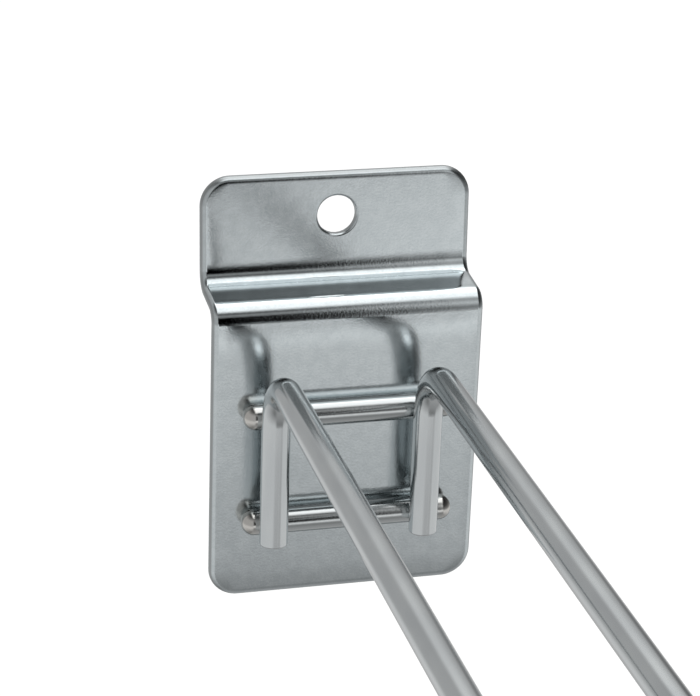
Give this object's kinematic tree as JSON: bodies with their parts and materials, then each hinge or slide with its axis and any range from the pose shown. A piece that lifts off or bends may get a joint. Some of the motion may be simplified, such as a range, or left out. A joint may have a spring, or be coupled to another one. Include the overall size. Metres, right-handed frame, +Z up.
{
  "type": "slatwall hook",
  "caption": "Bright-plated slatwall hook: a bent sheet back plate with a hanging tab, and two straight wire prongs welded across two cross rods.",
  "frame": {"origin": "mid width on the back face of the lower plate, in the corner under the step, which sits on the panel's lip", "axes": "+Z up, +Y into the panel, prongs along -Y, +X to the right seen from the front"},
  "size_m": [0.05, 0.1636, 0.0773],
  "materials": {
    "plated_sheet": "bright plating over rolled sheet, soft satin reflections",
    "plated_rod": "bright plating, glossy",
    "plated_wire": "bright plating over drawn wire, faint lengthwise drawing lines"
  },
  "bodies": {
    "root": {"back_plate": "plated_sheet", "upper_cross_rod": "plated_rod", "lower_cross_rod": "plated_rod", "left_prong": "plated_wire", "right_prong": "plated_wire"}
  },
  "joints": []
}
